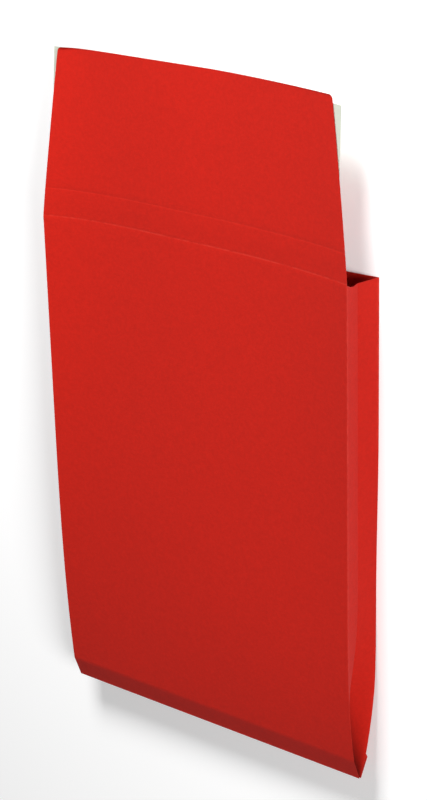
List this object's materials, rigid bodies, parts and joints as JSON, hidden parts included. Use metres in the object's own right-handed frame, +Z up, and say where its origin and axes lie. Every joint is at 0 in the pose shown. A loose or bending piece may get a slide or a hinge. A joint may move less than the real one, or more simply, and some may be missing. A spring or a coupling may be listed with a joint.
{
  "type": "gusseted envelope",
  "caption": "Peel-and-seal pocket envelope in red paper with pleated side gussets, opened out and lying on its back with the tapered flap open",
  "frame": {"origin": "on the resting face of the back panel, on the pocket's centre line and halfway along the pocket", "axes": "X across the face, Y from the bottom seam to the flap, Z up through the face"},
  "size_m": [0.2314, 0.4271, 0.0311],
  "materials": {
    "red_paper": "matte",
    "seal_latex": "satin",
    "liner_paper": "satin"
  },
  "bodies": {
    "root": {"envelope_sheet": "red_paper", "seal_adhesive": "seal_latex", "release_liner": "liner_paper"}
  },
  "joints": []
}
